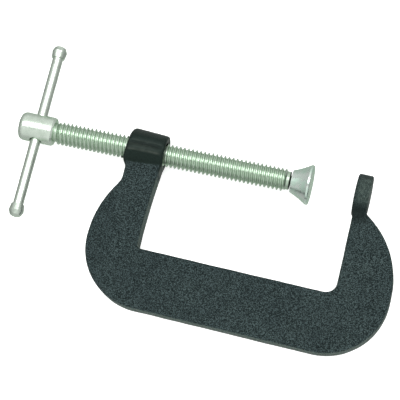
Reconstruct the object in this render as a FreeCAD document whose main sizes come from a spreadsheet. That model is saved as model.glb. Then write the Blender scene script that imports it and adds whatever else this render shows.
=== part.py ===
import FreeCAD, Part
import math
import os
import re

import Sketcher

# A light C clamp lying on its side: a cast frame with a tapped boss and a round anvil, a screw
# spindle with a cross-drilled head, a sliding T bar with pressed-on end caps, and a flared
# swivel pad held on the spindle's ball by a snap ring.
#
# The part's frame: X runs along the spindle, from the handle towards the anvil. Y runs from the
# spine of the C towards the spindle. Z is the thickness of the frame, with Z = 0 on the parting
# plane of the casting. The origin is the centre of the anvil face, on the spindle's axis.

DIMENSIONS = [
    # the flat web of the casting
    ("web_thickness", 8.0, "thickness of the C"),
    ("web_edge_radius", 0.7, "rounding of the long edges"),
    ("jaw_span", 65.2, "boss face to anvil face"),
    ("throat_boss_side", 33.6, "spindle axis to spine, at the boss arm"),
    ("throat_anvil_side", 34.9, "spindle axis to spine, at the anvil arm"),
    ("boss_arm_lean", 1.7, "how far the boss arm's inner edge leans out at the spine"),
    ("boss_arm_hollow", 260.0, "radius of that edge's slight hollow"),
    ("anvil_arm_lean", 0.7, "how far the anvil arm's inner edge leans out at the spine"),
    ("boss_corner_radius", 1.4, "inner corner at the boss arm"),
    ("anvil_corner_radius", 3.6, "inner corner at the anvil arm"),
    ("web_top", 3.0, "where the web ends inside the boss and the anvil, below the axis"),
    ("neck_reach", 77.4, "outer edge of the neck under the boss"),
    ("neck_radius", 5.0, "hollow between the neck and the shoulder"),
    ("shoulder_radius", 35.0, "swell of the boss arm"),
    ("boss_arm_reach", 84.3, "outermost point of the boss arm"),
    ("boss_arm_drop", 33.0, "its drop below the axis"),
    ("heel_radius", 20.8, "outer curve round the boss-side corner"),
    ("toe_radius", 21.5, "outer curve round the anvil-side corner"),
    ("toe_drop", 33.7, "top of that curve, below the axis"),
    ("anvil_arm_reach", 18.9, "outermost point of the anvil arm"),
    ("anvil_arm_drop", 31.4, "where the anvil arm starts to curve in, below the axis"),
    ("anvil_arm_radius", 29.5, "outer curve of the anvil arm"),
    # the tapped boss and the anvil
    ("boss_length", 12.5, "length of the boss"),
    ("boss_outer_radius", 6.8, "boss radius at the handle end"),
    ("boss_inner_radius", 6.2, "boss radius at the jaw end"),
    ("boss_rim_radius", 0.9, "rounding of both rims"),
    ("bore_radius", 4.02, "bore round the thread's crests"),
    ("bore_chamfer", 0.45, "countersink of both mouths"),
    ("anvil_radius", 7.2, "round anvil"),
    ("anvil_thickness", 5.0, "anvil face to anvil back"),
    ("anvil_rim_radius", 0.5, "rounding of the anvil's rims"),
    ("anvil_blend_radius", 1.5, "hollow between the anvil and the web"),
    # the spindle: 5/16-18 right-hand thread, rolled
    ("thread_radius", 3.97, "crest radius"),
    ("thread_pitch", 1.4111, "18 turns per 25.4 mm"),
    ("thread_depth", 0.866, "crest to root"),
    ("thread_crest", 0.18, "flat on the crest"),
    ("thread_root", 0.35, "flat in the root"),
    ("head_start", 116.5, "far end of the head"),
    ("head_end", 104.3, "shoulder of the head"),
    ("head_radius", 4.85, "head radius"),
    ("head_dome_radius", 1.9, "rounding of the head's free end"),
    ("head_chamfer_length", 0.6, "bevel at the shoulder, along the axis"),
    ("head_chamfer_depth", 0.4, "bevel at the shoulder, across it"),
    ("relief_width", 0.9, "undercut beside the head"),
    ("thread_end", 22.3, "face of the shank behind the pad"),
    ("collar_width", 1.0, "plain collar between that face and the thread"),
    ("collar_radius", 3.08, "collar radius"),
    ("neck_pin_radius", 1.7, "neck between the shank and the ball"),
    ("ball_reach", 18.6, "ball centre"),
    ("ball_radius", 2.6, "ball"),
    ("cross_hole_reach", 110.1, "cross hole for the T bar"),
    ("cross_hole_radius", 2.15, "cross hole"),
    ("cross_hole_rim", 0.4, "rounding of the hole's mouths"),
    ("spindle_roll", -4.0, "how far the cross hole is turned out of the frame's plane, degrees"),
    # the swivel pad and its ring
    ("pad_back", 21.7, "back edge of the pad"),
    ("pad_front", 15.0, "clamping face of the pad"),
    ("pad_back_radius", 3.8, "pad radius at the back"),
    ("pad_front_radius", 6.8, "pad radius at the face"),
    ("pad_land", 0.9, "straight rim behind the face"),
    ("pad_flare_radius", 28.0, "hollow curve of the flared side"),
    ("pad_face_chamfer", 0.3, "bevel of the face's rim"),
    ("pad_lip", 0.3, "thickness of the lip behind the ring"),
    ("pad_lip_radius", 2.35, "opening of the lip"),
    ("pad_cavity_radius", 3.1, "room round the ring"),
    ("socket_radius", 2.68, "socket round the ball"),
    ("ring_radius", 2.17, "centre line of the snap ring"),
    ("ring_wire_radius", 0.35, "wire of the snap ring"),
    ("ring_reach", 20.7, "place of the snap ring"),
    ("ring_sweep", 325.0, "how much of a circle the split ring is, degrees"),
    # the T bar and its caps
    ("bar_radius", 1.8, "T bar"),
    ("bar_length", 60.0, "T bar without the domes of its caps"),
    ("bar_offset", -0.7, "how far the bar has slid in the cross hole"),
    ("cap_length", 4.4, "end cap"),
    ("cap_depth", 3.2, "how far the bar goes into its cap"),
    ("cap_collar_radius", 2.25, "cap where it meets the bar"),
    ("cap_radius", 2.6, "widest part of the cap"),
    ("cap_widest", 2.3, "where the cap is widest, from its collar"),
    ("cap_shoulder_radius", 2.0, "cap where its dome starts"),
    ("cap_shoulder", 3.7, "where the dome starts, from the collar"),
    ("cap_dome_radius", 3.2, "dome of the cap"),
]

X_AXIS = FreeCAD.Vector(1, 0, 0)
Z_AXIS = FreeCAD.Vector(0, 0, 1)
TINY = 1e-6
# the names that Sketcher gives by number: its own axes, and an arc's centre
SKETCH_X_AXIS = -1
SKETCH_Y_AXIS = -2
ARC_CENTRE = 3
ZERO = "0"


def make_sheet(doc):
    """The spreadsheet that holds every driving dimension."""
    sheet = doc.addObject("Spreadsheet::Sheet", "dims")
    for row, (alias, value, meaning) in enumerate(DIMENSIONS, start=1):
        sheet.set(f"A{row}", meaning)
        sheet.set(f"B{row}", str(value))
        sheet.setAlias(f"B{row}", alias)
    doc.recompute()
    return sheet


def named(expression):
    """An expression written in plain aliases, with each alias led back to the sheet."""
    return re.sub(r"[a-z]+_[a-z_]+", r"dims.\g<0>", expression)


def value_of(obj, expression):
    """The number that an expression has now."""
    return float(obj.evalExpression(named(expression)))


def bind(obj, prop, expression):
    """Tie a property to the sheet."""
    obj.setExpression(prop, named(expression))


# ---------------------------------------------------------------- sketches and features


def new_body(doc, label):
    body = doc.addObject("PartDesign::Body", label)
    body.Label = label
    return body


def new_sketch(body, name, role):
    """A sketch on one of the body's own origin planes."""
    sketch = body.newObject("Sketcher::SketchObject", name)
    plane = next(o for o in body.Origin.OriginFeatures if o.Role == role)
    sketch.AttachmentSupport = [(plane, "")]
    sketch.MapMode = "FlatFace"
    return sketch


def edge(x, y, radius=None, turn=1, smooth=False, level=False, hold="xy"):
    """One side of an outline, running to the point (x, y); sizes are expressions of the sheet.
    With a radius it is an arc, anticlockwise for a turn of 1 and clockwise for -1. A smooth side
    leaves the one before it without a corner, a level arc ends level with its own centre, and
    hold names the coordinates that are fixed: the others are first guesses."""
    return {
        "x": x,
        "y": y,
        "radius": radius,
        "turn": turn,
        "smooth": smooth,
        "level": level,
        "hold": hold,
    }


def pin_point(sketch, geometry, end, x, y, hold="xy"):
    """Hold one point of a line, arc or circle at a place that the sheet gives."""
    for letter, kind, expression in (("x", "DistanceX", x), ("y", "DistanceY", y)):
        if letter not in hold:
            continue
        number = value_of(sketch, expression)
        if abs(number) < TINY:
            axis = SKETCH_Y_AXIS if letter == "x" else SKETCH_X_AXIS
            sketch.addConstraint(Sketcher.Constraint("PointOnObject", geometry, end, axis))
        else:
            index = sketch.addConstraint(
                Sketcher.Constraint(kind, -1, 1, geometry, end, number)
            )
            bind(sketch, f"Constraints[{index}]", expression)


def hold_radius(sketch, geometry, expression):
    """Tie the radius of an arc or circle to the sheet."""
    number = value_of(sketch, expression)
    index = sketch.addConstraint(Sketcher.Constraint("Radius", geometry, number))
    bind(sketch, f"Constraints[{index}]", expression)


def arc_between(start, finish, radius, turn):
    """The short arc between two points."""
    chord = finish - start
    middle = (start + finish) * 0.5
    across = FreeCAD.Vector(-chord.y, chord.x, 0).normalize()
    height = math.sqrt(max(radius * radius - chord.Length**2 / 4, 0.0))
    centre = middle + across * height * turn
    first, last = (start, finish) if turn > 0 else (finish, start)
    angle_first = math.atan2(first.y - centre.y, first.x - centre.x)
    angle_last = math.atan2(last.y - centre.y, last.x - centre.x)
    circle = Part.Circle(centre, Z_AXIS, radius)
    return Part.ArcOfCircle(circle, angle_first, angle_last)


def draw_loop(sketch, sides):
    """A closed outline of edges, each bound to the sheet."""
    points = [
        FreeCAD.Vector(value_of(sketch, side["x"]), value_of(sketch, side["y"]), 0)
        for side in sides
    ]
    drawn = []
    for number, side in enumerate(sides):
        start = points[number - 1]
        finish = points[number]
        if side["radius"] is None:
            line = sketch.addGeometry(Part.LineSegment(start, finish), False)
            drawn.append((line, 1, 2))
            continue
        radius = value_of(sketch, side["radius"])
        shape = arc_between(start, finish, radius, side["turn"])
        arc = sketch.addGeometry(shape, False)
        drawn.append((arc, 1, 2) if side["turn"] > 0 else (arc, 2, 1))
        hold_radius(sketch, arc, side["radius"])
    for number, side in enumerate(sides):
        geometry, begin, end = drawn[number]
        before, _, before_end = drawn[number - 1]
        joint = "Tangent" if side["smooth"] else "Coincident"
        sketch.addConstraint(
            Sketcher.Constraint(joint, before, before_end, geometry, begin)
        )
        pin_point(sketch, geometry, end, side["x"], side["y"], side["hold"])
        if side["level"]:
            sketch.addConstraint(
                Sketcher.Constraint("Horizontal", geometry, ARC_CENTRE, geometry, end)
            )
    sketch.Document.recompute()
    if not sketch.FullyConstrained:
        raise RuntimeError(f"{sketch.Label} is not fully constrained")


def turn_profile(body, name, steps, kind="PartDesign::Revolution"):
    """Revolve a half section about X, to add metal or, as a groove, to take it away."""
    sketch = new_sketch(body, f"{name}_section", "XY_Plane")
    draw_loop(sketch, steps)
    feature = body.newObject(kind, name)
    feature.Profile = sketch
    feature.ReferenceAxis = (sketch, ["H_Axis"])
    feature.Angle = 360.0
    body.Document.recompute()
    return feature


def round_edges(body, name, base, wanted, radius):
    """Round the edges of a feature that pass a test."""
    picked = [
        f"Edge{number}"
        for number, line in enumerate(base.Shape.Edges, start=1)
        if wanted(line)
    ]
    fillet = body.newObject("PartDesign::Fillet", name)
    fillet.Base = (base, picked)
    bind(fillet, "Radius", radius)
    body.Document.recompute()
    return fillet


# ---------------------------------------------------------------- the frame casting


def web_outline():
    """The C of the casting, from the neck under the boss round to the anvil and back."""
    heel_centre = "- boss_arm_reach + heel_radius"
    heel_bottom = "- boss_arm_drop - heel_radius"
    toe_centre = "anvil_arm_reach - toe_radius"
    toe_bottom = "- toe_drop - toe_radius"
    neck_end = "- boss_arm_drop + 0.63 * shoulder_radius"
    shoulder_start = "- boss_arm_drop + 0.55 * shoulder_radius"
    root = "anvil_thickness - anvil_rim_radius"
    return [
        edge("- neck_reach", neck_end, hold="x"),
        edge(
            "- neck_reach - 0.2 * neck_radius",
            shoulder_start,
            radius="neck_radius",
            turn=-1,
            smooth=True,
            hold="",
        ),
        edge(
            "- boss_arm_reach",
            "- boss_arm_drop",
            radius="shoulder_radius",
            smooth=True,
            level=True,
        ),
        edge(heel_centre, heel_bottom, radius="heel_radius", smooth=True, hold=""),
        edge(toe_centre, toe_bottom, smooth=True, hold=""),
        edge("anvil_arm_reach", "- toe_drop", radius="toe_radius", smooth=True, level=True),
        edge("anvil_arm_reach", "- anvil_arm_drop"),
        edge(root, "- web_top - 2", radius="anvil_arm_radius", smooth=True, hold="x"),
        edge(root, "- web_top"),
        edge("anvil_arm_lean", "- web_top"),
        edge("anvil_arm_lean", "- throat_anvil_side"),
        edge("- jaw_span - boss_arm_lean", "- throat_boss_side"),
        edge("- jaw_span", "- web_top", radius="boss_arm_hollow", turn=-1),
        edge("- neck_reach", "- web_top"),
    ]


def boss_section():
    """Half section of the tapped boss: a slightly tapered barrel with rounded rims."""
    far = "- jaw_span - boss_length"
    return [
        edge(far, ZERO),
        edge("- jaw_span", ZERO),
        edge("- jaw_span", "boss_inner_radius - boss_rim_radius"),
        edge("- jaw_span - boss_rim_radius", "boss_inner_radius", radius="boss_rim_radius"),
        edge(far + " + boss_rim_radius", "boss_outer_radius"),
        edge(far, "boss_outer_radius - boss_rim_radius", radius="boss_rim_radius"),
    ]


def anvil_section():
    """Half section of the round anvil, with both rims rounded."""
    return [
        edge(ZERO, ZERO),
        edge("anvil_thickness", ZERO),
        edge("anvil_thickness", "anvil_radius - anvil_rim_radius"),
        edge("anvil_thickness - anvil_rim_radius", "anvil_radius", radius="anvil_rim_radius"),
        edge("anvil_rim_radius", "anvil_radius"),
        edge(ZERO, "anvil_radius - anvil_rim_radius", radius="anvil_rim_radius"),
    ]


def bore_section():
    """Half section of what the spindle's bore takes away, with both mouths countersunk."""
    far = "- jaw_span - boss_length"
    mouth = "bore_radius + bore_chamfer"
    return [
        edge(far + " - bore_chamfer", ZERO),
        edge("- jaw_span + bore_chamfer", ZERO),
        edge("- jaw_span + bore_chamfer", mouth + " + bore_chamfer"),
        edge("- jaw_span - bore_chamfer", "bore_radius"),
        edge(far + " + bore_chamfer", "bore_radius"),
        edge(far + " - bore_chamfer", mouth + " + bore_chamfer"),
    ]


def make_frame(doc):
    """The casting: web, boss and anvil in one, then the bore."""
    body = new_body(doc, "frame")
    outline = new_sketch(body, "web_outline", "XY_Plane")
    draw_loop(outline, web_outline())
    web = body.newObject("PartDesign::Pad", "web")
    web.Profile = outline
    web.Midplane = True
    bind(web, "Length", "web_thickness")
    doc.recompute()
    half = value_of(web, "web_thickness / 2")

    def corner_at(x_expression):
        place = value_of(web, x_expression)
        return lambda line: all(
            abs(vertex.X - place) < TINY and vertex.Y < -2 * half for vertex in line.Vertexes
        )

    def on_a_face(line):
        return all(abs(abs(vertex.Z) - half) < TINY for vertex in line.Vertexes)

    boss_corner = round_edges(
        body,
        "boss_corner",
        web,
        corner_at("- jaw_span - boss_arm_lean"),
        "boss_corner_radius",
    )
    anvil_corner = round_edges(
        body, "anvil_corner", boss_corner, corner_at("anvil_arm_lean"), "anvil_corner_radius"
    )
    round_edges(body, "web_rounding", anvil_corner, on_a_face, "web_edge_radius")
    turn_profile(body, "boss", boss_section())
    anvil = turn_profile(body, "anvil", anvil_section())

    rim = value_of(anvil, "anvil_radius")

    def where_anvil_meets_web(seam):
        middle = seam.valueAt((seam.FirstParameter + seam.LastParameter) / 2)
        across = math.hypot(middle.y, middle.z)
        return (
            abs(across - rim) < 1e-3
            and abs(abs(middle.z) - half) < 1e-3
            and middle.x > 0.1
            and middle.y < 0
        )

    blend = round_edges(
        body, "anvil_blend", anvil, where_anvil_meets_web, "anvil_blend_radius"
    )
    before = blend.Shape.Volume
    bore = turn_profile(body, "bore", bore_section(), kind="PartDesign::Groove")
    check_cut(bore, before)
    return body


def check_cut(feature, volume_before):
    """A cut that points away from the metal takes nothing and says nothing."""
    if feature.Shape.Volume > volume_before - 1.0:
        raise RuntimeError(f"{feature.Label} took no metal away")


# ---------------------------------------------------------------- the spindle


def spindle_section():
    """Half section of the turned blank: head, undercut, shank, neck and ball."""
    root = "thread_radius - thread_depth"
    shoulder = "- head_end"
    bevel = "thread_depth"
    collar = "- thread_end - collar_width"
    neck_meets_ball = "- ball_reach - sqrt(ball_radius ^ 2 - neck_pin_radius ^ 2)"
    return [
        edge("- head_start", ZERO),
        edge("- ball_reach + ball_radius", ZERO),
        edge(neck_meets_ball, "neck_pin_radius", radius="ball_radius"),
        edge("- thread_end", "neck_pin_radius"),
        edge("- thread_end", "collar_radius"),
        edge(collar, "collar_radius"),
        edge(collar + " - " + bevel, "thread_radius"),
        edge(shoulder + " + relief_width + " + bevel, "thread_radius"),
        edge(shoulder + " + relief_width", root),
        edge(shoulder, root),
        edge(shoulder, "head_radius - head_chamfer_depth"),
        edge(shoulder + " - head_chamfer_length", "head_radius"),
        edge("- head_start + head_dome_radius", "head_radius"),
        edge("- head_start", "head_radius - head_dome_radius", radius="head_dome_radius"),
    ]


def thread_groove_section():
    """The V that the thread cuts, drawn in the undercut and open above the crests."""
    start = "- head_end + relief_width / 2"
    overshoot = 0.3
    flank = math.tan(math.radians(30))
    mouth = f"(thread_pitch - thread_crest) / 2 + {overshoot * flank:.4f}"
    return [
        edge(start + " - thread_root / 2", "thread_radius - thread_depth"),
        edge(start + " + thread_root / 2", "thread_radius - thread_depth"),
        edge(start + " + " + mouth, f"thread_radius + {overshoot}"),
        edge(start + " - (" + mouth + ")", f"thread_radius + {overshoot}"),
    ]


def make_spindle(doc):
    """Turned, threaded, cross-drilled, and rolled to the angle that the T bar stands at."""
    body = new_body(doc, "spindle")
    blank = turn_profile(body, "blank", spindle_section())

    groove = new_sketch(body, "thread_section", "XY_Plane")
    draw_loop(groove, thread_groove_section())
    thread = body.newObject("PartDesign::SubtractiveHelix", "thread")
    thread.Profile = groove
    thread.ReferenceAxis = (groove, ["H_Axis"])
    thread.Mode = 0
    bind(thread, "Pitch", "thread_pitch")
    bind(thread, "Height", "head_end - thread_end")
    thread.LeftHanded = False
    doc.recompute()
    check_cut(thread, blank.Shape.Volume)

    hole = new_sketch(body, "cross_hole_section", "XZ_Plane")
    centre = FreeCAD.Vector(-value_of(hole, "cross_hole_reach"), 0, 0)
    radius = value_of(hole, "cross_hole_radius")
    circle = hole.addGeometry(Part.Circle(centre, Z_AXIS, radius), False)
    hold_radius(hole, circle, "cross_hole_radius")
    pin_point(hole, circle, ARC_CENTRE, "- cross_hole_reach", ZERO)
    drilled = body.newObject("PartDesign::Pocket", "cross_hole")
    drilled.Profile = hole
    drilled.Midplane = True
    bind(drilled, "Length", "4 * head_radius")
    doc.recompute()
    check_cut(drilled, thread.Shape.Volume)

    def mouth_of_hole(rim):
        middle = rim.valueAt((rim.FirstParameter + rim.LastParameter) / 2)
        outside = abs(math.hypot(middle.y, middle.z) - value_of(drilled, "head_radius"))
        along = abs(middle.x + value_of(drilled, "cross_hole_reach"))
        return (
            outside < 0.01
            and along < value_of(drilled, "cross_hole_radius") + 0.01
            and not isinstance(rim.Curve, (Part.Line, Part.Circle))
        )

    round_edges(body, "cross_hole_rims", drilled, mouth_of_hole, "cross_hole_rim")
    body.Placement = FreeCAD.Placement(
        FreeCAD.Vector(), FreeCAD.Rotation(X_AXIS, value_of(body, "spindle_roll"))
    )
    return body


# ---------------------------------------------------------------- the swivel pad and its ring


def pad_section():
    """Half section of the flared pad, with the socket, the ring's room and the lip."""
    lip = "- pad_back + pad_lip"
    return [
        edge("- pad_back", "pad_lip_radius"),
        edge(lip, "pad_lip_radius"),
        edge(lip, "pad_cavity_radius"),
        edge("- ball_reach", "pad_cavity_radius"),
        edge("- ball_reach", "socket_radius"),
        edge("- ball_reach + socket_radius", ZERO, radius="socket_radius", turn=-1),
        edge("- pad_front", ZERO),
        edge("- pad_front", "pad_front_radius - pad_face_chamfer"),
        edge("- pad_front - pad_face_chamfer", "pad_front_radius"),
        edge("- pad_front - pad_land", "pad_front_radius"),
        edge("- pad_back", "pad_back_radius", radius="pad_flare_radius", turn=-1),
    ]


def make_pad(doc):
    body = new_body(doc, "swivel_pad")
    turn_profile(body, "pad", pad_section())
    return body


def make_ring(doc):
    """A split wire ring round the neck, loose in the pad's room."""
    ring = doc.addObject("Part::Torus", "pad_retaining_ring")
    ring.Label = "pad_retaining_ring"
    bind(ring, "Radius1", "ring_radius")
    bind(ring, "Radius2", "ring_wire_radius")
    bind(ring, "Angle3", "ring_sweep")
    ring.Placement = FreeCAD.Placement(
        FreeCAD.Vector(-value_of(ring, "ring_reach"), 0, 0),
        FreeCAD.Rotation(Z_AXIS, X_AXIS),
    )
    doc.recompute()
    return ring


# ---------------------------------------------------------------- the T bar


def cap_section():
    """Half section of an end cap along X: collar, barrel and dome round a blind bore."""
    return [
        edge(ZERO, "bar_radius"),
        edge("cap_depth", "bar_radius"),
        edge("cap_depth", ZERO),
        edge("cap_length", ZERO),
        edge("cap_shoulder", "cap_shoulder_radius", radius="cap_dome_radius"),
        edge("cap_widest", "cap_radius"),
        edge(ZERO, "cap_collar_radius"),
    ]


def bar_placement(obj, distance, flip):
    """Stand a piece made along X on the T bar's line, at a distance from the spindle's axis."""
    roll = math.radians(value_of(obj, "spindle_roll"))
    along = FreeCAD.Vector(0, math.cos(roll), math.sin(roll))
    centre = FreeCAD.Vector(-value_of(obj, "cross_hole_reach"), 0, 0)
    offset = value_of(obj, "bar_offset")
    direction = along * flip
    return FreeCAD.Placement(
        centre + along * offset + direction * distance,
        FreeCAD.Rotation(X_AXIS, direction),
    )


def make_bar(doc):
    """The plain round bar, centred on the spindle's axis and then slid by its offset."""
    bar = doc.addObject("Part::Cylinder", "handle_bar")
    bar.Label = "handle_bar"
    bind(bar, "Radius", "bar_radius")
    bind(bar, "Height", "bar_length")
    upright = FreeCAD.Placement(FreeCAD.Vector(), FreeCAD.Rotation(Z_AXIS, X_AXIS))
    half = value_of(bar, "bar_length / 2")
    bar.Placement = bar_placement(bar, -half, 1) * upright
    doc.recompute()
    return bar


def make_cap(doc, label, side):
    """One of the two like caps, pressed over an end of the bar."""
    body = new_body(doc, label)
    turn_profile(body, f"{label}_solid", cap_section())
    seat = value_of(body, "bar_length / 2 - cap_depth")
    body.Placement = bar_placement(body, seat, side)
    return body


# ---------------------------------------------------------------- build, check and write


def main():
    doc = FreeCAD.newDocument("c_clamp")
    make_sheet(doc)
    pieces = [
        make_frame(doc),
        make_spindle(doc),
        make_pad(doc),
        make_ring(doc),
        make_bar(doc),
        make_cap(doc, "handle_cap_upper", 1),
        make_cap(doc, "handle_cap_lower", -1),
    ]
    doc.recompute()
    for obj in doc.Objects:
        if {"Invalid", "Error"} & set(obj.State):
            raise RuntimeError(f"{obj.Label} failed: {obj.State}")
    for piece in pieces:
        if piece.Shape.isNull() or not piece.Shape.isValid():
            raise RuntimeError(f"{piece.Label} has no valid shape")
        if len(piece.Shape.Solids) != 1:
            raise RuntimeError(f"{piece.Label} is not one solid")
    os.makedirs("parts", exist_ok=True)
    for piece in pieces:
        piece.Shape.exportStep(f"parts/{piece.Label}.step")
        print(f"{piece.Label}: {piece.Shape.Volume:.1f} mm3")


main()
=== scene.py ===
# %% [markdown]
# # A light C clamp
# The clamp is a grey iron casting with a plated screw through its boss. It lies on its side, and
# it is seen almost from straight above. The shapes come from the CAD model, which is loaded here
# as a fixed frame. This lesson adds the looks: the sand-cast skin of the iron, its charcoal
# enamel, the bright zinc plate of the screw, the pad and the bar, and a small studio.
#
# X runs along the screw towards the anvil, Y from the spine of the C towards the screw, and Z is
# up. The origin is the centre of the anvil's face.

import math

import bpy
import numpy as np
from mathutils import Matrix, Vector, noise


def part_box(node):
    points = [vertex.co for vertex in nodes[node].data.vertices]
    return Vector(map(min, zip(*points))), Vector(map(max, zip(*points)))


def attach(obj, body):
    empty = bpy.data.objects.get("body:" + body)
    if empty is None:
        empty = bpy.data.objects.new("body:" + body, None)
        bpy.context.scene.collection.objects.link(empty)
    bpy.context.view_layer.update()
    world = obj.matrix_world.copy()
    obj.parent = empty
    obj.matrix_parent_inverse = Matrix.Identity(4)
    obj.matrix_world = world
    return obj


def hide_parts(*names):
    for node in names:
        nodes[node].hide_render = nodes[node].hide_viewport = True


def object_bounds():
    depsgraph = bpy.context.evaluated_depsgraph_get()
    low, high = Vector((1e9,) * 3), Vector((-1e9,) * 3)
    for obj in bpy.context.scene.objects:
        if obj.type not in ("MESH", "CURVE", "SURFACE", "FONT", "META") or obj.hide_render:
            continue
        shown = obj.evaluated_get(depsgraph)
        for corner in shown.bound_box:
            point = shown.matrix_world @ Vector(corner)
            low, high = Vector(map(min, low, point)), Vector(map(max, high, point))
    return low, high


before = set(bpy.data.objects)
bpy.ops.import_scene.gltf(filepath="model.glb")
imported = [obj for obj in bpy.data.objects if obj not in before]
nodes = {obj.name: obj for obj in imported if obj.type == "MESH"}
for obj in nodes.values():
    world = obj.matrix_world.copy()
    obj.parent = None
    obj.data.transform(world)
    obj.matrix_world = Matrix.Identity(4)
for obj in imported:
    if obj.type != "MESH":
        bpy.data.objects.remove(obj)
cad_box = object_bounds()
MM = 0.001
print("pieces:", ", ".join(sorted(nodes)))
print("CAD box, mm:", [[round(c / MM, 1) for c in corner] for corner in cad_box])

# %% [markdown]
# ## Landmarks
# The anvil's face is at X = 0, and the screw's axis is the X axis itself. The boss stands at the
# other end of the C's opening. A node's box gives only its outer size, so a few places inside
# the boxes are written out here: where the boss begins and ends, how thick the web is, how long
# the screw's head is, and how far behind the pad its shank stops.

# %% Landmarks
frame_low, frame_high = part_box("frame")
spindle_low, spindle_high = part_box("spindle")
pad_low, pad_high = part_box("swivel_pad")
BOSS_JAW_X = -65.2 * MM
BOSS_FAR_X = BOSS_JAW_X - 12.5 * MM
WEB_HALF = 4.0 * MM
HEAD_LENGTH = 12.2 * MM
SHANK_TO_PAD = 0.6 * MM
print("casting, mm:", [round(c / MM, 1) for c in frame_high - frame_low])
print("spindle length, mm:", round((spindle_high - spindle_low).x / MM, 1))
print("pad length, mm:", round((pad_high - pad_low).x / MM, 1))

# %% [markdown]
# ## The skin of the casting
# Iron that was poured into sand is never quite flat. Its faces are slightly wavy, and the two
# halves of the mould leave a thin raised line round the edge. The boss has a shallow crease
# along each side, between two lobes of the pattern that it was moulded from, and its far end
# leans a little.
#
# A bump map could fake this, but it would vanish along the outline. The skin is real geometry
# instead: the CAD solid is remeshed into small even cells, and each point then moves a little
# along its own normal. The CAD node stays in the physics model, and the skin stands for it.

# %% Remesh the casting into even cells
CELL = 0.36 * MM


def evaluated_copy(source, name, *modifiers):
    """A new object with the source's mesh, after modifiers given as (type, settings)."""
    made = bpy.data.objects.new(name, source.data.copy())
    bpy.context.scene.collection.objects.link(made)
    for kind, settings in modifiers:
        modifier = made.modifiers.new(kind.lower(), kind)
        for key, value in settings.items():
            setattr(modifier, key, value)
    graph = bpy.context.evaluated_depsgraph_get()
    mesh = bpy.data.meshes.new_from_object(made.evaluated_get(graph))
    made.modifiers.clear()
    made.data = mesh
    return made


casting = evaluated_copy(
    nodes["frame"],
    "casting_skin",
    ("REMESH", {"mode": "VOXEL", "voxel_size": CELL}),
    ("SMOOTH", {"factor": 0.5, "iterations": 2}),
)
casting.data.materials.clear()
print("casting cells:", len(casting.data.polygons))

# %% Read the points and normals


def read_points(mesh):
    """The mesh's points and normals as two arrays of rows."""
    points = np.empty(len(mesh.vertices) * 3)
    normals = np.empty(len(mesh.vertices) * 3)
    mesh.vertices.foreach_get("co", points)
    mesh.vertex_normals.foreach_get("vector", normals)
    return points.reshape(-1, 3), normals.reshape(-1, 3)


points, normals = read_points(casting.data)
x, y, z = points.T
facing_x, _, facing_z = np.abs(normals.T)
from_axis = np.hypot(y, z)
print("points:", len(points))

# %% [markdown]
# ### Where each mark of the mould belongs
# A mask is a number from 0 to 1 for each point. The bore is kept clear, because the screw
# runs in it with a twentieth of a millimetre to spare. The anvil's face and the boss's two
# ends are kept free of waves, because they were ground. The boss and the anvil are both round
# about the screw's axis, so the distance from that axis tells them from the flat web.
#
# A mask could be painted by hand, but one that is worked out from the shape fits every point,
# and it says in words where a mark belongs. Three curves are enough: a rise, a fall and a bell.

# %% Curves for masks


def rise(value, start, end):
    """A smooth step from 0 at start to 1 at end."""
    t = np.clip((value - start) / (end - start), 0.0, 1.0)
    return t * t * (3.0 - 2.0 * t)


def fall(value, start, end):
    """A smooth step from 1 at start to 0 at end."""
    return 1.0 - rise(value, start, end)


def bell(value, centre, width):
    """A smooth hump: 1 at the centre, and about a third at the width from it."""
    return np.exp(-(((value - centre) / width) ** 2))


for curve in (rise, fall, bell):
    print(curve.__name__, "from 0 to 1:", [round(float(curve(t, 0.0, 1.0)), 2) for t in (0, 0.5, 1)])

# %% Masks for the bore, the ground faces and the round parts
BORE_REACH = 5.0 * MM
FACE_REACH = 7.6 * MM
BOSS_REACH = 8.0 * MM
ROUND_END, WEB_START = 7.4 * MM, 8.6 * MM
THICK_ON_FLAT = 0.15
THICK_ON_ANVIL = 0.3

beside_boss = (x < BOSS_JAW_X + 1.0 * MM) & (x > BOSS_FAR_X - 1.0 * MM)
in_bore = beside_boss & (from_axis < BORE_REACH)
near_boss_axis = from_axis < BOSS_REACH

faces = facing_x * (from_axis < FACE_REACH)
free_skin = fall(faces, 0.6, 0.9) * (1.0 - in_bore)

flat_side = rise(facing_z, 0.80, 0.97) * (np.abs(z) < WEB_HALF + 0.15 * MM)
towards_anvil = rise(x, -20.0 * MM, -10.0 * MM)
round_parts = fall(from_axis, ROUND_END, WEB_START)
round_parts *= 1.0 - (1.0 - THICK_ON_FLAT) * flat_side
round_parts *= 1.0 - (1.0 - THICK_ON_ANVIL) * towards_anvil
print("points in the bore:", int(in_bore.sum()))

# %% [markdown]
# ### Waves and the mould line
# The sand gives way a little under the iron, so the faces carry long soft waves with smaller
# lumps on them. The mould line runs round the middle of the side walls. It is ground down in
# places, so its height comes and goes. One noise could make both waves and lumps, but with two
# of them the size and the height of each can be set alone.

# %% Waves and the mould line
WAVE = 0.07 * MM
LUMP = 0.035 * MM
MOULD_LINE = 0.16 * MM


def field(size, seed):
    """Smooth noise of about -1 to 1 at every point, with lumps of the given size."""
    shift = Vector((seed * 7.3, seed * 3.1, seed * 5.7))
    return np.array([noise.noise(Vector(p) / size + shift) for p in points])


waves = WAVE * field(7.0 * MM, 1) + LUMP * field(1.6 * MM, 2)
side_wall = fall(facing_z, 0.3, 0.7)
come_and_go = 0.6 + 0.4 * field(5.0 * MM, 3)
mould_line = MOULD_LINE * come_and_go * side_wall * bell(z, 0.0, 0.3 * MM)
mould_line *= from_axis > BORE_REACH
print("mould line at most, mm:", round(float(mould_line.max()) / MM, 2))

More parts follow.
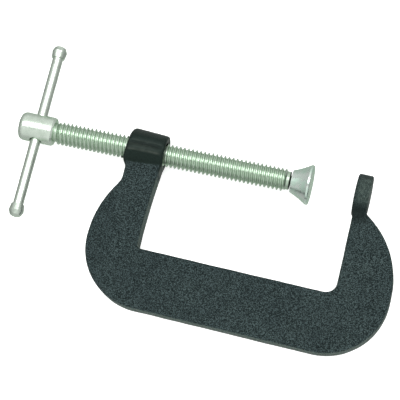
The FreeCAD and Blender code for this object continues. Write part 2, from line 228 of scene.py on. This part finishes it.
# %% [markdown]
# ### The crease and the lobes of the boss
# The boss isn't a plain cylinder. A shallow crease runs along it, with a lobe of the casting on
# either side, and the half away from the spine swells a little. Moving points by hand would
# leave dents. Angles round the screw's axis describe the shape better: 0 degrees points
# straight up or down in Z, and 90 degrees away from the spine. The crease and the lobes fade
# out before the two ground ends.

# %% The boss's own shape
CREASE_ANGLE = 9.0
CREASE = 0.36 * MM
LOBE = 0.42 * MM
SWELL = 0.26 * MM

around = np.degrees(np.arctan2(y, np.abs(z)))
past_crease = around - (CREASE_ANGLE + 2.0 * field(4.0 * MM, 4))
along_boss = rise(x, BOSS_FAR_X + 0.3 * MM, BOSS_FAR_X + 1.6 * MM)
along_boss *= fall(x, BOSS_JAW_X - 2.2 * MM, BOSS_JAW_X - 0.4 * MM)
on_boss = along_boss * near_boss_axis * (1.0 - in_bore)

crease = -CREASE * bell(past_crease, 0.0, 4.0)
lower_lobe = LOBE * bell(past_crease, -17.0, 11.0)
upper_lobe = 0.6 * LOBE * bell(past_crease, 18.0, 14.0)
swell = SWELL * rise(around, 5.0, 40.0) * rise(from_axis, BORE_REACH, BORE_REACH + 0.8 * MM)
swell *= beside_boss & near_boss_axis
boss_shape = (crease + lower_lobe + upper_lobe) * on_boss + swell
print("boss shape at most, mm:", round(float(np.abs(boss_shape).max()) / MM, 2))

# %% The leaning far end
LEAN_SLOPE = 0.13
LEAN_BACK = 0.45 * MM

far_end = fall(x, BOSS_FAR_X + 1.0 * MM, BOSS_FAR_X + 5.0 * MM) * near_boss_axis
far_end *= rise(y, -7.5 * MM, -4.0 * MM)
lean = far_end * (LEAN_SLOPE * y - LEAN_BACK)
print("lean at most, mm:", round(float(np.abs(lean).max()) / MM, 2))

# %% [markdown]
# ### Moving the points
# The marks are added up and each point moves along its normal. Two rules keep the clamp true.
# The wall of the bore is pushed out to a radius that clears the screw's crests, and no point
# may leave the CAD node's own box. Then the skin takes the casting's place on its body.

# %% Move the points
BORE_RADIUS = 4.14 * MM

push = free_skin * (waves + mould_line) + boss_shape
clear_bore = np.where(in_bore, np.maximum(BORE_RADIUS / np.maximum(from_axis, 1e-6), 1.0), 1.0)
points += normals * push[:, None]  # x, y and z are views of points, and move with them
x += lean
y *= clear_bore
z *= clear_bore
points = np.clip(points, frame_low, frame_high)
casting.data.vertices.foreach_set("co", points.ravel())
casting.data.update()
casting.data.polygons.foreach_set("use_smooth", [True] * len(casting.data.polygons))
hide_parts("frame")
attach(casting, "frame")
print("largest move, mm:", round(float(np.abs(push).max()) / MM, 2))

# %% [markdown]
# ### Masks that the enamel reads
# The enamel isn't the same all over. It lies thicker and smoother on the boss, and a little on
# the anvil. It is rubbed thin at the few sharpest corners of the casting, and a highlight is
# painted along the boss's ledge and its two ridges. The side walls and the outside of the anvil
# are painted lighter: painted light where the low lights and the floor fall on them. In the
# crease, at the anvil's foot and at its tip, painted shade makes the enamel nearly black.
#
# Each of these depends on the shape, which a material can't see by itself. So four numbers are
# stored on each point for it, under the names round_parts, wear_and_highlight, side_wall and
# painted_shade_mask.

# %% Keep a mask on the mesh


def store_mask(name, values):
    """Keep one number per point of the casting, under a name that a material can read."""
    layer = casting.data.attributes.new(name, "FLOAT", "POINT")
    layer.data.foreach_set("value", np.asarray(values, dtype=np.float32))


store_mask("round_parts", round_parts)
print("thickly painted points:", int((round_parts > 0.5).sum()))

# %% Where handling has rubbed the enamel, and painted highlights on the boss


def bulge(mesh, rows):
    """How far each point stands out of its neighbours' mean, along its normal, per cell."""
    edges = np.empty(len(mesh.edges) * 2, dtype=np.int64)
    mesh.edges.foreach_get("vertices", edges)
    a, b = edges.reshape(-1, 2).T
    total = np.zeros_like(rows)
    count = np.zeros(len(rows))
    for near, far in ((a, b), (b, a)):
        np.add.at(total, near, rows[far])
        np.add.at(count, near, 1.0)
    mean = total / np.maximum(count, 1.0)[:, None]
    return np.einsum("ij,ij->i", rows - mean, normals) / CELL


# painted highlight: light streaks on the boss's ledge and its two ridges, laid over the real wear at
# the sharpest corners
ledge = rise(past_crease, -26.0, -20.0) * fall(past_crease, -4.0, 0.0)
lower_ridge = bell(past_crease, -22.0, 2.6)
upper_ridge = bell(past_crease, 6.0, 2.2)
patchy = 0.7 + 0.7 * field(1.5 * MM, 6)
boss_highlight = (0.34 * ledge + 0.85 * lower_ridge + 0.45 * upper_ridge) * patchy * on_boss
wear_and_highlight = np.maximum(rise(bulge(casting.data, points), 0.10, 0.24), boss_highlight)
store_mask("wear_and_highlight", wear_and_highlight)
print("worn points:", int((wear_and_highlight > 0.5).sum()))

# %% Painted light on the side walls and the anvil's outside
# painted light: the anvil's outside and the side walls get a lighter tone, where the low lights and
# the floor bounce fall
on_anvil = rise(x, 0.2 * MM, 1.6 * MM) * fall(from_axis, ROUND_END, ROUND_END + 0.4 * MM)
on_anvil *= rise(y, -5.5 * MM, -1.0 * MM) * (1.0 - 0.8 * rise(y, 4.0 * MM, 5.8 * MM))
lit_anvil = (0.62 + 0.45 * field(1.3 * MM, 5)) * on_anvil
lit_wall = side_wall * rise(from_axis, FACE_REACH, 10.0 * MM)
lit_sides = np.maximum(lit_wall, lit_anvil)
store_mask("side_wall", lit_sides)
print("dusty points:", int((lit_sides > 0.5).sum()))

# %% Painted shade in the crease, at the anvil's foot and at its tip
# painted shade: the crease, the anvil's foot and its tip are marked for nearly black enamel, where
# shade falls
crease_shade = bell(past_crease, 0.0, 3.0) * on_boss
from_foot = np.hypot((x - 2.5 * MM) / 1.5, y + 7.0 * MM)
foot_shade = fall(from_foot, 0.8 * MM, 5.0 * MM)
tip_shade = 0.8 * bell(y, 5.3 * MM, 0.8 * MM) * rise(x, 0.8 * MM, 2.2 * MM)
painted_shade = np.maximum(np.maximum(foot_shade, tip_shade), crease_shade)
store_mask("painted_shade_mask", painted_shade)
print("pooled points:", int((painted_shade > 0.5).sum()))

# %% [markdown]
# ## Helpers for materials
# A material is a small graph of nodes. A few helpers keep each graph readable. The first two
# make a material with its shader, and add a node with its settings. The others each stand for
# one everyday step: read a stored mask, make noise at a size in millimetres, spread a number
# over a range, lay one colour over another, and raise the surface with a bump.

# %% Make a material and add its nodes


def new_material(name, **settings):
    """A material whose shader has the given sockets set. Returns it, its tree and its shader."""
    material = bpy.data.materials.new(name)
    material.use_nodes = True
    shader = material.node_tree.nodes["Principled BSDF"]
    for socket, value in settings.items():
        shader.inputs[socket.replace("_", " ")].default_value = value
    return material, material.node_tree, shader


def add(tree, kind, inputs=(), **settings):
    """A node with its settings, and its inputs given as values or as other nodes' outputs."""
    node = tree.nodes.new("ShaderNode" + kind)
    for key, value in settings.items():
        setattr(node, key, value)
    for key, value in dict(inputs).items():
        if isinstance(value, bpy.types.NodeSocket):
            tree.links.new(value, node.inputs[key])
        else:
            node.inputs[key].default_value = value
    return node


# %% Everyday steps of a material


def own_place(tree, stretch=(1.0, 1.0, 1.0)):
    """The point's place on its own piece, so that a pattern moves with it."""
    place = add(tree, "TexCoord").outputs["Object"]
    return add(tree, "Mapping", {"Vector": place, "Scale": stretch}).outputs["Vector"]


def stored(tree, name):
    """A mask that is stored on the mesh."""
    return add(tree, "Attribute", attribute_name=name).outputs["Fac"]


def grain(tree, where, size, detail=2.0, roughness=0.5):
    """Noise with lumps of about the given size."""
    inputs = {"Vector": where, "Scale": 1.0 / size, "Detail": detail, "Roughness": roughness}
    return add(tree, "TexNoise", inputs).outputs["Fac"]


def remap(tree, value, low, high, to_low=0.0, to_high=1.0):
    """Spread a number from one range to another, and stop at the ends."""
    inputs = {0: value, 1: low, 2: high, 3: to_low, 4: to_high}
    return add(tree, "MapRange", inputs).outputs[0]


def calc(tree, operation, first, second=0.0):
    """Arithmetic on two numbers."""
    return add(tree, "Math", {0: first, 1: second}, operation=operation).outputs[0]


def mix(tree, amount, first, second, blend="MIX"):
    """The second colour over the first, by an amount from 0 to 1."""
    inputs = {0: amount, 6: first, 7: second}
    return add(tree, "Mix", inputs, data_type="RGBA", blend_type=blend).outputs[2]


def raise_surface(tree, shader, height, depth, strength):
    """Bump: the surface looks as if it stood depth higher where height is 1."""
    inputs = {"Height": height, "Distance": depth, "Strength": strength}
    tree.links.new(add(tree, "Bump", inputs).outputs["Normal"], shader.inputs["Normal"])


# %% [markdown]
# ## Charcoal enamel over sand-cast iron
# The paint is nearly black with a green-grey cast. The sand's grain shows through it as a fine
# speckle of a third of a millimetre, because each grain tips the gloss another way. Where the
# paint has flowed thicker, it is darker and smoother. Where it is rubbed, and where a highlight
# is painted on the boss's ledge and ridges, it is a dull olive grey. Painted light makes the side
# walls lighter, and painted shade makes the crease and the anvil's foot and tip nearly black.
#
# One colour with noise would look like plastic. Here the grain drives three things at once,
# the colour, the gloss and the height, and the four stored masks choose where.

# %% The colour of the enamel
enamel, tree, shader = new_material(
    "charcoal_enamel", Specular_IOR_Level=0.26, Specular_Tint=(0.76, 0.97, 0.92, 1.0)
)
GRAIN_SIZE = 0.30 * MM
place = own_place(tree)
speckle = grain(tree, place, GRAIN_SIZE, detail=2.0, roughness=0.6)
patches = grain(tree, place, 9.0 * MM, detail=3.0)
thick_paint = stored(tree, "round_parts")

grain_low, grain_high = (0.001, 0.003, 0.004, 1.0), (0.056, 0.079, 0.082, 1.0)
patch_low, patch_high = (0.82, 0.84, 0.86, 1.0), (1.1, 1.1, 1.08, 1.0)
flow_low, flow_high = (0.001, 0.003, 0.002, 1.0), (0.007, 0.013, 0.011, 1.0)
grain_colour = mix(tree, remap(tree, speckle, 0.45, 0.64), grain_low, grain_high)
patch_colour = mix(tree, remap(tree, patches, 0.35, 0.7), patch_low, patch_high)
web_colour = mix(tree, 1.0, grain_colour, patch_colour, blend="MULTIPLY")
flow_colour = mix(tree, remap(tree, speckle, 0.3, 0.7), flow_low, flow_high)
painted = mix(tree, thick_paint, web_colour, flow_colour)
print("nodes so far:", len(tree.nodes))

# %% Painted shade, painted side light, wear and painted highlights over the enamel
# painted shade: nearly black enamel in the crease, at the anvil's foot and at its tip
shade_colour = (0.003, 0.005, 0.005, 1.0)
# painted light: a lighter olive tone for the side walls and the anvil's outside; its speckle is the
# sand's grain
side_light_low, side_light_high = (0.020, 0.029, 0.025, 1.0), (0.088, 0.116, 0.102, 1.0)
# the rubbed colour is real wear at sharp corners, and a painted highlight along the boss's ledge and
# ridges
rubbed_and_highlight_colour = (0.085, 0.095, 0.082, 1.0)

shade_amount = calc(tree, "MULTIPLY", stored(tree, "painted_shade_mask"), 0.85)
side_light_amount = calc(tree, "MULTIPLY", stored(tree, "side_wall"), 0.8)
wear_and_highlight_amount = calc(tree, "MULTIPLY", stored(tree, "wear_and_highlight"), 0.35)
side_light_colour = mix(tree, remap(tree, speckle, 0.40, 0.64), side_light_low, side_light_high)
with_shade = mix(tree, shade_amount, painted, shade_colour)
with_side_light = mix(tree, side_light_amount, with_shade, side_light_colour)
with_wear_and_highlight = mix(tree, wear_and_highlight_amount, with_side_light, rubbed_and_highlight_colour)
tree.links.new(with_wear_and_highlight, shader.inputs["Base Color"])
print("nodes with pools, dust and wear:", len(tree.nodes))

# %% The gloss and the grain of the enamel
THICK_ROUGHNESS = 0.38
GRAIN_HEIGHT = 0.16 * MM

web_roughness = remap(tree, speckle, 0.35, 0.65, 0.80, 0.60)
roughness = add(tree, "Mix", {0: thick_paint, 2: web_roughness, 3: THICK_ROUGHNESS}).outputs[0]
tree.links.new(roughness, shader.inputs["Roughness"])

pits = grain(tree, place, GRAIN_SIZE, detail=1.0)
height = calc(tree, "ADD", speckle, calc(tree, "MULTIPLY", pits, 0.5))
bareness = calc(tree, "SUBTRACT", 1.0, calc(tree, "MULTIPLY", thick_paint, 0.40))
raise_surface(tree, shader, calc(tree, "MULTIPLY", height, bareness), GRAIN_HEIGHT, 0.9)
casting.data.materials.append(enamel)
print("enamel nodes:", len(tree.nodes))

# %% [markdown]
# ## Bright zinc plate on the screw
# Zinc plate is a thin bright metal with a faint green tint from its passivation. A rolled
# thread has burnished crests. Its roots are duller, and painted shade makes them darker. The
# head wasn't rolled, so it is a little duller than the crests, and the neck that runs into the
# pad is painted black, as painted shade in the gap.
#
# The plate could be one colour all over, but then the thread would lose its depth. So the
# material works out how far a point is from the axis, from Y and Z, and paints the shade of
# the roots from that.

# %% The colours of the zinc
zinc_bright = (0.86, 0.93, 0.86, 1.0)
zinc_soft = (0.72, 0.80, 0.72, 1.0)
zinc_rim = (0.74, 0.83, 0.74, 1.0)
# painted shade: the thread's roots are painted a darker green-grey
root_shade_colour = (0.57, 0.68, 0.57, 1.0)
# painted shade: the neck in the gap behind the pad, and the pad's back, are painted nearly black
gap_shade_colour = (0.015, 0.02, 0.015, 1.0)
print("plate from", zinc_soft[:3], "to", zinc_bright[:3])

# %% How deep in the thread a point is
CREST_RADIUS = 3.97 * MM
THREAD_DEPTH = 0.866 * MM

screw_zinc, tree, shader = new_material(
    "zinc_plate_screw", Metallic=1.0, Specular_Tint=zinc_rim
)
place = own_place(tree)
axes = add(tree, "SeparateXYZ", {0: place}).outputs
y_squared, z_squared = (calc(tree, "POWER", axes[i], 2.0) for i in (1, 2))
radius = calc(tree, "SQRT", calc(tree, "ADD", y_squared, z_squared))
crest = remap(tree, radius, CREST_RADIUS - THREAD_DEPTH, CREST_RADIUS - 0.1 * MM)
print("thread roots are at, mm:", round((CREST_RADIUS - THREAD_DEPTH) / MM, 2))

# %% The plate, and painted shade in the thread's roots and on the neck
shank_end = pad_low.x - SHANK_TO_PAD
cloud = grain(tree, place, 1.8 * MM, detail=4.0)
plate = mix(tree, remap(tree, cloud, 0.35, 0.7), zinc_soft, zinc_bright)
# painted shade: darker towards the thread's roots
with_root_shade = mix(tree, calc(tree, "SUBTRACT", 1.0, crest), plate, root_shade_colour)
# painted shade: the neck in the gap behind the pad is painted nearly black
on_neck = remap(tree, axes[0], shank_end - 0.2 * MM, shank_end)
tree.links.new(mix(tree, on_neck, with_root_shade, gap_shade_colour), shader.inputs["Base Color"])
print("the grease begins at X, mm:", round(shank_end / MM, 1))

# %% The gloss and the scuffs of the screw
ROOT_ROUGHNESS, CREST_ROUGHNESS, HEAD_EXTRA = 0.36, 0.17, 0.07

head_end = spindle_low.x + HEAD_LENGTH
burnish = remap(tree, crest, 0.0, 1.0, ROOT_ROUGHNESS, CREST_ROUGHNESS)
on_head = remap(tree, axes[0], head_end + 0.3 * MM, head_end)
burnish = calc(tree, "ADD", burnish, calc(tree, "MULTIPLY", on_head, HEAD_EXTRA))
scuffs = grain(tree, own_place(tree, (3.0, 0.6, 0.6)), 0.5 * MM, detail=3.0)
roughness = calc(tree, "ADD", burnish, remap(tree, scuffs, 0.4, 0.7, 0.0, 0.12))
tree.links.new(roughness, shader.inputs["Roughness"])
raise_surface(tree, shader, scuffs, 0.02 * MM, 0.6)
print("screw zinc nodes:", len(tree.nodes))

# %% [markdown]
# ## Zinc on the bar, the caps and the pad
# The bar is drawn rod, so its scratches run along it. The caps were pressed, and theirs run
# round the end. The pad was turned on a lathe: its flared side has a cloudy plate with fine
# rings, and its back, where the screw goes in, is painted black as painted shade.
#
# Three separate materials would repeat most of their nodes. They share the zinc's colours, so
# one function makes them and takes only what differs: which way the marks run, how cloudy the
# plate is and how glossy.

# %% Zinc with marks in one direction


def marked_zinc(name, stretch, cloud_size, cloud_colours, roughness, shaded_span=None):
    """Zinc plate with fine marks that run along the axis where stretch is small.

    cloud_colours and roughness are each a low and a high end. Where X goes from the first to the
    second number of the last argument, the plate is painted black as painted shade.
    """
    material, tree, shader = new_material(name, Metallic=1.0, Specular_Tint=zinc_rim)
    marks = grain(tree, own_place(tree, stretch), 0.22 * MM, detail=3.0)
    cloud = grain(tree, own_place(tree), cloud_size, detail=3.0, roughness=0.6)
    colour = mix(tree, remap(tree, cloud, 0.36, 0.64), *cloud_colours)
    # painted shade: over the given span of X the plate is painted black
    if shaded_span:
        along = add(tree, "SeparateXYZ", {0: own_place(tree)}).outputs[0]
        colour = mix(tree, remap(tree, along, *shaded_span), colour, gap_shade_colour)
    tree.links.new(colour, shader.inputs["Base Color"])
    smooth_end, rough_end = roughness
    clouded = remap(tree, cloud, 0.35, 0.65, rough_end, smooth_end)
    marked = calc(tree, "ADD", clouded, remap(tree, marks, 0.45, 0.75, 0.0, 0.10))
    tree.links.new(marked, shader.inputs["Roughness"])
    raise_surface(tree, shader, marks, 0.012 * MM, 0.5)
    print(f"{name}: {len(tree.nodes)} nodes")
    return material


# %% Zinc for the bar, the caps and the pad
bar_zinc = marked_zinc(
    "zinc_plate_drawn_bar",
    stretch=(1.0, 0.04, 1.0),
    cloud_size=2.6 * MM,
    cloud_colours=((0.70, 0.75, 0.69, 1.0), zinc_bright),
    roughness=(0.20, 0.32),
)
cap_zinc = marked_zinc(
    "zinc_plate_pressed_cap",
    stretch=(0.5, 1.0, 0.5),
    cloud_size=1.3 * MM,
    cloud_colours=((0.60, 0.66, 0.60, 1.0), zinc_bright),
    roughness=(0.18, 0.34),
)
pad_zinc = marked_zinc(
    "zinc_plate_turned_pad",
    stretch=(4.0, 0.4, 0.4),
    cloud_size=2.6 * MM,
    cloud_colours=((0.70, 0.88, 0.78, 1.0), (0.95, 1.0, 0.98, 1.0)),
    roughness=(0.12, 0.38),
    # painted shade: the pad's back, in the gap behind it, is painted black
    shaded_span=(pad_low.x + 0.05 * MM, pad_low.x),
)

# %% [markdown]
# ## Spring wire
# The snap ring inside the pad is hard drawn wire: darker than the plate, blued by heat and
# lightly oiled. A plain grey would do for something that hardly shows. But it is a real piece
# that turns up when the parts are taken apart, so it gets its own finish.

# %% The ring's wire
wire, tree, shader = new_material("spring_wire", Metallic=1.0)
blued, straw = (0.13, 0.14, 0.17, 1.0), (0.34, 0.31, 0.27, 1.0)
place = own_place(tree)
heat = grain(tree, place, 1.1 * MM, detail=2.0)
tree.links.new(
    mix(tree, remap(tree, heat, 0.35, 0.65), blued, straw), shader.inputs["Base Color"]
)
tree.links.new(remap(tree, heat, 0.3, 0.7, 0.26, 0.42), shader.inputs["Roughness"])
raise_surface(tree, shader, grain(tree, place, 0.2 * MM), 0.01 * MM, 0.4)
print("wire nodes:", len(tree.nodes))

# %% [markdown]
# ## Each finish on its piece
# The CAD nodes come with plain materials in their slots. Only what is in a slot is swapped
# here, so the meshes stay untouched. A list of pairs keeps it plain which piece has which
# finish.

# %% Put each finish on its piece
finishes = {
    "spindle": screw_zinc,
    "swivel_pad": pad_zinc,
    "pad_retaining_ring": wire,
    "handle_bar": bar_zinc,
    "handle_cap_upper": cap_zinc,
    "handle_cap_lower": cap_zinc,
}
for name, material in finishes.items():
    for material_slot in nodes[name].material_slots:
        material_slot.material = material
    print(f"{name}: {material.name}")

# %% [markdown]
# ## The studio floor
# The clamp lies on a white ground with hardly a shadow, as on a light table. A plain sheet of
# paper would be grey under the clamp. So the paper glows a little by itself.
#
# Bright metal only looks like metal when part of what it reflects is dark. The floor is hidden
# from mirror-like rays for that reason, as dark cards would hide it in a studio. Otherwise the
# metal's outline would melt into the paper.

# %% The floor
PAPER_GLOW = 0.62
paper_low, paper_high = (0.86, 0.86, 0.86, 1.0), (0.89, 0.89, 0.89, 1.0)

bpy.ops.mesh.primitive_plane_add(size=6.0, location=(-0.05, -0.02, cad_box[0].z))
floor = bpy.context.object
floor.name = "floor"
paper, tree, shader = new_material(
    "pale_paper",
    Roughness=0.9,
    Specular_IOR_Level=0.1,
    Emission_Color=(1.0, 1.0, 1.0, 1.0),
    Emission_Strength=PAPER_GLOW,
)
fibre = grain(tree, own_place(tree), 3.0 * MM, detail=4.0)
tree.links.new(mix(tree, fibre, paper_low, paper_high), shader.inputs["Base Color"])
floor.data.materials.append(paper)
floor.visible_glossy = False
print("floor at Z, mm:", round(floor.location.z / MM, 1))

# %% [markdown]
# ## The room
# What the metal reflects is mostly the room, so the room decides how the plate looks. It is a
# greenish grey that brightens with height, and turns dark again right overhead. So the plate
# runs from light to dark over a small turn of its surface, as bright metal does. The two
# directions along the screw are dimmer, so that the flanks of its thread stand apart.
#
# A panorama of a real studio could do this, but a ramp of a few tones is easier to steer.

# %% The room
ROOM_FLOOR, ROOM_ZENITH = (0.55, 0.59, 0.55, 1.0), (0.28, 0.30, 0.28, 1.0)
ROOM_TONES = ((0.38, 0.50), (0.50, 0.62), (0.62, 0.74), (0.90, 0.84), (0.96, 0.80), (0.98, 0.34))
GREEN_CAST = 1.05
DIM_ALONG_SCREW = 0.55

world = bpy.data.worlds.new("studio_room")
bpy.context.scene.world = world
world.use_nodes = True
tree = world.node_tree
room = add(tree, "SeparateXYZ", {0: add(tree, "TexCoord").outputs["Generated"]}).outputs
ramp = add(tree, "ValToRGB", {0: remap(tree, room[2], -1.0, 1.0)})
stops = ramp.color_ramp.elements
stops[0].position, stops[0].color = 0.0, ROOM_FLOOR
stops[1].position, stops[1].color = 1.0, ROOM_ZENITH
for position, tone in ROOM_TONES:
    stops.new(position).color = (tone, tone * GREEN_CAST, tone, 1.0)
background = tree.nodes["Background"]
tree.links.new(ramp.outputs[0], background.inputs["Color"])
along_screw = calc(tree, "POWER", calc(tree, "ABSOLUTE", room[0]), 1.5)
dimming = remap(tree, along_screw, 0.0, 1.0, 1.0, DIM_ALONG_SCREW)
tree.links.new(dimming, background.inputs["Strength"])
print("tones of the room:", len(stops))

# %% [markdown]
# ## The lights
# One long soft light hangs above the clamp, a little towards the screw's side. It is the only
# light that the metal mirrors, and it gives the round parts one wide white highlight. A second
# light above it and two low ones at the spine and the anvil only brighten the enamel. They are
# hidden from mirror-like rays, because more highlights would make the plate look like chrome.

# %% The lights
middle_of_clamp = (cad_box[0] + cad_box[1]) / 2


def softbox(name, place, size, brightness, in_mirrors=False):
    """A soft light that is aimed at the clamp. Brightness is how bright it looks head-on."""
    lamp = bpy.data.lights.new(name, "AREA")
    lamp.shape = "RECTANGLE"
    lamp.size, lamp.size_y = size
    lamp.energy = brightness * math.pi * size[0] * size[1]
    holder = bpy.data.objects.new(name, lamp)
    bpy.context.scene.collection.objects.link(holder)
    holder.location = place
    to_light = Vector(place) - middle_of_clamp
    holder.rotation_euler = (-to_light).to_track_quat("-Z", "Y").to_euler()
    holder.visible_glossy = in_mirrors
    print(f"{name}: {to_light.length:.2f} m from the clamp")


softbox("overhead", (-0.10, 0.17, 0.80), (1.2, 0.42), 2.5, in_mirrors=True)
softbox("overhead_fill", (-0.10, 0.10, 0.90), (1.2, 0.8), 1.1)
softbox("spine_side", (-0.10, -0.75, 0.22), (0.9, 0.4), 3.0)
softbox("anvil_side", (0.75, -0.02, 0.22), (0.9, 0.4), 3.0)

# %% [markdown]
# ## The camera
# The clamp is seen from above, from 8 degrees off towards the anvil and 11 degrees off towards
# the spine, with the camera rolled by 13.4 degrees. A long lens from about 0.6 m keeps the
# perspective gentle. The camera could be aimed by a constraint, but the three angles say more,
# so its own three axes are worked out from them.

# %% The camera
off_anvil, off_spine, roll = (math.radians(a) for a in (8.0, 11.0, 13.4))
CAMERA_PLACE = (0.0367, -0.13433, 0.61966)
FOCAL_LENGTH = 171.0

towards = Vector((
    math.sin(off_anvil) * math.cos(off_spine),
    -math.sin(off_spine),
    math.cos(off_anvil) * math.cos(off_spine),
))
level_right = Vector((math.cos(off_anvil), 0.0, -math.sin(off_anvil)))
level_up = towards.cross(level_right)
right = level_right * math.cos(roll) + level_up * math.sin(roll)
up = level_up * math.cos(roll) - level_right * math.sin(roll)

lens = bpy.data.cameras.new("camera")
lens.lens = FOCAL_LENGTH
lens.sensor_width = 36.0
camera = bpy.data.objects.new("camera", lens)
bpy.context.scene.collection.objects.link(camera)
turn = Matrix((right, up, towards)).transposed().to_4x4()
camera.matrix_world = Matrix.Translation(CAMERA_PLACE) @ turn
bpy.context.scene.camera = camera
bpy.context.scene.view_settings.view_transform = "Standard"
print("camera to origin, mm:", round(camera.matrix_world.translation.length / MM))
